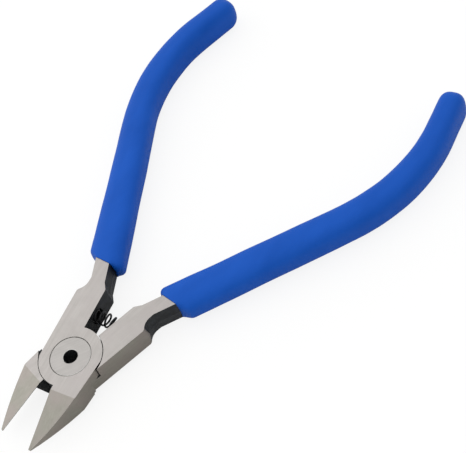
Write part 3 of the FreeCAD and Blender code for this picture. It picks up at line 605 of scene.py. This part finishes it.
def grip_rings(length):
    """Rings of points: from the cavity's end out to the mouth, and from the lip to the far end."""
    angles = [2 * math.pi * k / GRIP_SIDES for k in range(GRIP_SIDES)]
    depth = cavity_length(length)
    to_step = (TANG_STEP_DEPTH - depth) / CAVITY_STEPS
    cavity = [(depth + to_step * k, TANG_HALF_THICKNESS) for k in range(CAVITY_STEPS + 1)]
    cavity += [(reach, HALF_THICKNESS) for reach in NECK_RINGS]
    inner = []
    for reach, half_thickness in cavity:
        inner.append([place_on_handle(tang_section(a, half_thickness), reach) for a in angles])
    outer = []
    for step in range(LIP_STEPS):
        turn = math.pi / 2 * step / LIP_STEPS
        reach = GRIP_LIP * (1 - math.cos(turn))
        ring = []
        for angle in angles:
            hole = Vector(tang_section(angle, HALF_THICKNESS))
            skin = Vector(grip_outer(angle, reach, length))
            start = min(LIP_FLAT, 0.5 * (skin - hole).length)
            hole += (skin - hole).normalized() * start
            ring.append(place_on_handle(hole.lerp(skin, math.sin(turn)), reach))
        outer.append(ring)
    body_length = length - GRIP_DOME - GRIP_LIP
    reaches = [GRIP_LIP + body_length * step / BODY_STEPS for step in range(BODY_STEPS)]
    turns = [math.pi / 2 * step / DOME_STEPS for step in range(DOME_STEPS)]
    reaches += [length - GRIP_DOME * (1 - math.sin(turn)) for turn in turns]
    for reach in reaches:
        outer.append([place_on_handle(grip_outer(a, reach, length), reach) for a in angles])
    return inner, outer


def skin_rings(bm, rings, first_centre, last_centre):
    """Join rings of points with quads and close both ends round a middle point."""
    rows = [[bm.verts.new(point) for point in ring] for ring in rings]
    for row, following in zip(rows, rows[1:]):
        for k in range(len(row)):
            nxt = (k + 1) % len(row)
            bm.faces.new((row[k], row[nxt], following[nxt], following[k]))
    for row, centre in ((rows[0], first_centre), (rows[-1], last_centre)):
        hub = bm.verts.new(centre)
        for k in range(len(row)):
            bm.faces.new((row[k], row[(k + 1) % len(row)], hub))
    bmesh.ops.recalc_face_normals(bm, faces=bm.faces)
    return rows


def make_grip(name, node, body, to_row, seed):
    length = handle_length() - mouth_distance(0.0)
    bm = bmesh.new()
    inner, outer = grip_rings(length)
    cavity_end = place_on_handle((0, 0), cavity_length(length))
    far_end = place_on_handle((0, 0), length)
    rows = skin_rings(bm, inner + outer, cavity_end, far_end)
    roughen(bm, [vert for row in rows[len(inner):] for vert in row], seed)
    for face in bm.faces:
        face.smooth = True
    bm.transform(to_row @ Matrix.Scale(MM, 4))
    piece = new_piece(name, bm, [blue_vinyl_finish])
    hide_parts(node)
    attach(piece, body)


def roughen(bm, verts, seed):
    """The slight hand-dipped unevenness of the vinyl: long swells and short ripples."""
    bm.normal_update()
    moves = []
    for vert in verts:
        swell = noise.noise(vert.co / SWELL_LENGTH + Vector((seed, 0, 0))) * SWELL_HEIGHT
        ripple = noise.noise(vert.co / RIPPLE_LENGTH + Vector((0, seed, 0))) * RIPPLE_HEIGHT
        moves.append(vert.normal * (swell + ripple))
    for vert, move in zip(verts, moves):
        vert.co += move


# ---------------------------------------------------------------- return spring
SPRING_WIRE = 0.45
SPRING_COIL = 3.25
SPRING_TURNS = 7.0
SPRING_SEATED = 0.95
SPRING_SIDES = 14
SPRING_STEPS_PER_TURN = 40
CLOSED_TURNS = 1.05
CLOSED_PITCH = 0.4          # as a share of the open coils' pitch
SPRING_SKEW = 0.35          # the coils at the rear half's end sit askew by this slope,
SKEW_FROM = 0.4             # which begins at this share of the spring's length
SKEW_OVER = 0.15            # and is full after this share more


def spring_travel():
    """Share of the spring's length after each step: close coils at both ends, open between."""
    steps = int(SPRING_TURNS * SPRING_STEPS_PER_TURN)
    reached = [0.0]
    for step in range(steps):
        turn = (step + 0.5) / SPRING_STEPS_PER_TURN
        from_end = min(turn, SPRING_TURNS - turn)
        opened = min(max((from_end - CLOSED_TURNS * 0.5) / CLOSED_TURNS, 0.0), 1.0)
        opened = opened * opened * (3 - 2 * opened)
        reached.append(reached[-1] + CLOSED_PITCH * (1 - opened) + opened)
    return [value / reached[-1] for value in reached]


def make_spring(node):
    reach = HALF_OPENING + math.atan2(SEAT_MOUTH + SPRING_SEATED, SPRING_AXIS_RADIUS)
    coil = (SPRING_COIL - SPRING_WIRE) / 2
    centres = []
    axes = []
    for step, share in enumerate(spring_travel()):
        around = 2 * math.pi * step / SPRING_STEPS_PER_TURN
        askew = SPRING_SKEW * min(max((share - SKEW_FROM) / SKEW_OVER, 0.0), 1.0)
        lean = askew * coil * math.sin(around) / SPRING_AXIS_RADIUS
        along = math.pi / 2 + reach * (1 - 2 * share) - lean
        outward = Vector((math.cos(along), math.sin(along), 0))
        axis_point = outward * SPRING_AXIS_RADIUS
        spoke = outward * math.cos(around) + Vector((0, 0, 1)) * math.sin(around)
        centres.append(axis_point + spoke * coil)
        axes.append(spoke)
    rings = []
    last = len(centres) - 1
    for index, centre in enumerate(centres):
        ahead = (centres[min(index + 1, last)] - centres[max(index - 1, 0)]).normalized()
        side = ahead.cross(axes[index]).normalized()
        spoke = side.cross(ahead)
        ring = []
        for k in range(SPRING_SIDES):
            angle = 2 * math.pi * k / SPRING_SIDES
            outwards = spoke * math.cos(angle) + side * math.sin(angle)
            ring.append(centre + outwards * SPRING_WIRE / 2)
        rings.append(ring)
    bm = bmesh.new()
    skin_rings(bm, rings, centres[0], centres[-1])
    mark_shading(bm, SHARP)
    bm.transform(Matrix.Scale(MM, 4))
    piece = new_piece("return_spring_coil", bm, [spring_wire_finish])
    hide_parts(node)
    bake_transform(piece)


# ---------------------------------------------------------------- the tool
black_oxide_finish = black_oxide()
rubbed_edge_and_highlight_finish = rubbed_edge_and_highlight_steel()
blue_vinyl_finish = blue_vinyl()
spring_wire_finish = spring_wire()
# Painted shade for the fine grooves
groove_shade_finish = painted_shade_groove_steel("painted_shade_groove_steel", *GROOVE_SHADE_TONES)
# Near-black painted shade for the lap's gap
lap_shade_finish = painted_shade_groove_steel("lap_gap_painted_shade", *LAP_SHADE_TONES)
rivet_face_finish = ground_steel("rivet_face", *RIVET_TONES, RIVET_GRAIN_TURN)

make_half("front_half_steel", "front_half", "front_lever", FRONT_TO_ROW,
          half_materials("front_half", -HALF_OPENING))
make_half("rear_half_steel", "rear_half", "rear_lever", REAR_TO_ROW,
          half_materials("rear_half", HALF_OPENING))
make_rivet("pivot_rivet", "front_lever")
make_spring("return_spring")
make_grip("left_grip_vinyl", "left_grip", "front_lever", FRONT_TO_ROW, seed=1.0)
make_grip("right_grip_vinyl", "right_grip", "rear_lever", REAR_TO_ROW, seed=5.0)


# ---------------------------------------------------------------- stage, light and camera
FLOOR_TONE = (0.78, 0.78, 0.77)
FLOOR_GLOW = 1.06
FLOOR_GLOW_SHARE = 0.8
SKY_BRIGHT_SIDE = (-95, 55)     # azimuth and elevation of the tent's brightest part
SKY_SPAN = (-0.6, 0.9)          # cosines to that part between which the brightness rises,
SKY_LEVELS = (0.5, 1.1)         # from and to these strengths


def pale_floor():
    """A pale matt table, lit from below towards the camera so that shadows stay faint."""
    finish = Finish("pale_floor")
    finish.set(Roughness=0.9, Specular_IOR_Level=0.2)
    finish.shader.inputs["Base Color"].default_value = (*FLOOR_TONE, 1)
    glow = finish.nodes.new("ShaderNodeEmission")
    glow.inputs["Strength"].default_value = FLOOR_GLOW
    path = finish.nodes.new("ShaderNodeLightPath")
    share = finish.combine("MULTIPLY", path.outputs["Is Camera Ray"], FLOOR_GLOW_SHARE)
    blend = finish.nodes.new("ShaderNodeMixShader")
    finish.links.new(share, blend.inputs["Fac"])
    finish.links.new(finish.shader.outputs["BSDF"], blend.inputs[1])
    finish.links.new(glow.outputs["Emission"], blend.inputs[2])
    finish.links.new(blend.outputs["Shader"], finish.nodes["Material Output"].inputs["Surface"])
    return finish.material


def make_floor(low):
    """The floor, just under the lowest point. Its reach to each side is in metres."""
    clearance = 0.1
    reach = 3.0
    mesh = bpy.data.meshes.new("floor")
    corners = [(-reach, -reach, 0), (reach, -reach, 0), (reach, reach, 0), (-reach, reach, 0)]
    mesh.from_pydata(corners, [], [(0, 1, 2, 3)])
    floor = bpy.data.objects.new("floor", mesh)
    floor.location.z = low.z - clearance * MM
    bpy.context.scene.collection.objects.link(floor)
    mesh.materials.append(pale_floor())
    floor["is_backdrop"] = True


def direction(azimuth, elevation):
    """Unit vector from the object towards a place. Azimuth 0 is at -Y and 90 at +X."""
    a = math.radians(azimuth)
    e = math.radians(elevation)
    return Vector((math.sin(a) * math.cos(e), -math.cos(a) * math.cos(e), math.sin(e)))


def make_sky():
    """A soft white tent, brighter on the upper left as the camera sees it."""
    world = bpy.data.worlds.new("tent")
    bpy.context.scene.world = world
    world.use_nodes = True
    nodes = world.node_tree.nodes
    links = world.node_tree.links
    place = nodes.new("ShaderNodeTexCoord")
    towards = nodes.new("ShaderNodeVectorMath")
    towards.operation = "DOT_PRODUCT"
    towards.inputs[1].default_value = direction(*SKY_BRIGHT_SIDE)
    links.new(place.outputs["Generated"], towards.inputs[0])
    level = nodes.new("ShaderNodeMapRange")
    level.interpolation_type = "SMOOTHSTEP"
    level.inputs["From Min"].default_value = SKY_SPAN[0]
    level.inputs["From Max"].default_value = SKY_SPAN[1]
    level.inputs["To Min"].default_value = SKY_LEVELS[0]
    level.inputs["To Max"].default_value = SKY_LEVELS[1]
    links.new(towards.outputs["Value"], level.inputs["Value"])
    links.new(level.outputs["Result"], nodes["Background"].inputs["Strength"])
    nodes["Background"].inputs["Color"].default_value = (1, 1, 1, 1)


def make_lamp(name, azimuth, elevation, distance, size, power, aim):
    """A square lamp that points at aim. Its distance and size are in metres."""
    lamp = bpy.data.lights.new(name, "AREA")
    lamp.shape = "SQUARE"
    lamp.size = size
    lamp.energy = power
    holder = bpy.data.objects.new(name, lamp)
    towards = direction(azimuth, elevation)
    holder.location = aim + towards * distance
    holder.rotation_mode = "QUATERNION"
    holder.rotation_quaternion = towards.to_track_quat("Z", "Y")
    bpy.context.scene.collection.objects.link(holder)


def make_camera():
    """The photo's camera, fitted to the tool's outlines. Returns the point it aims at."""
    aim = Vector((8.73, 43.53, 0)) * MM
    distance = 262.3 * MM
    azimuth = 58.04
    elevation = 52.66
    roll = math.radians(24.04)
    camera = bpy.data.cameras.new("camera")
    camera.lens = 93.9
    camera.sensor_width = 36.0
    holder = bpy.data.objects.new("camera", camera)
    back = direction(azimuth, elevation)
    level_right = Vector((0, 0, 1)).cross(back).normalized()
    level_up = back.cross(level_right)
    right = level_right * math.cos(roll) - level_up * math.sin(roll)
    up = level_up * math.cos(roll) + level_right * math.sin(roll)
    turn = Matrix((right, up, back)).transposed().to_4x4()
    holder.matrix_world = Matrix.Translation(aim + back * distance) @ turn
    bpy.context.scene.collection.objects.link(holder)
    bpy.context.scene.camera = holder
    return aim


make_floor(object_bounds()[0])
make_sky()
aim_point = make_camera()
make_lamp("key", azimuth=-80, elevation=40, distance=0.6, size=0.45, power=0.35, aim=aim_point)
bpy.context.scene.view_settings.view_transform = "Standard"
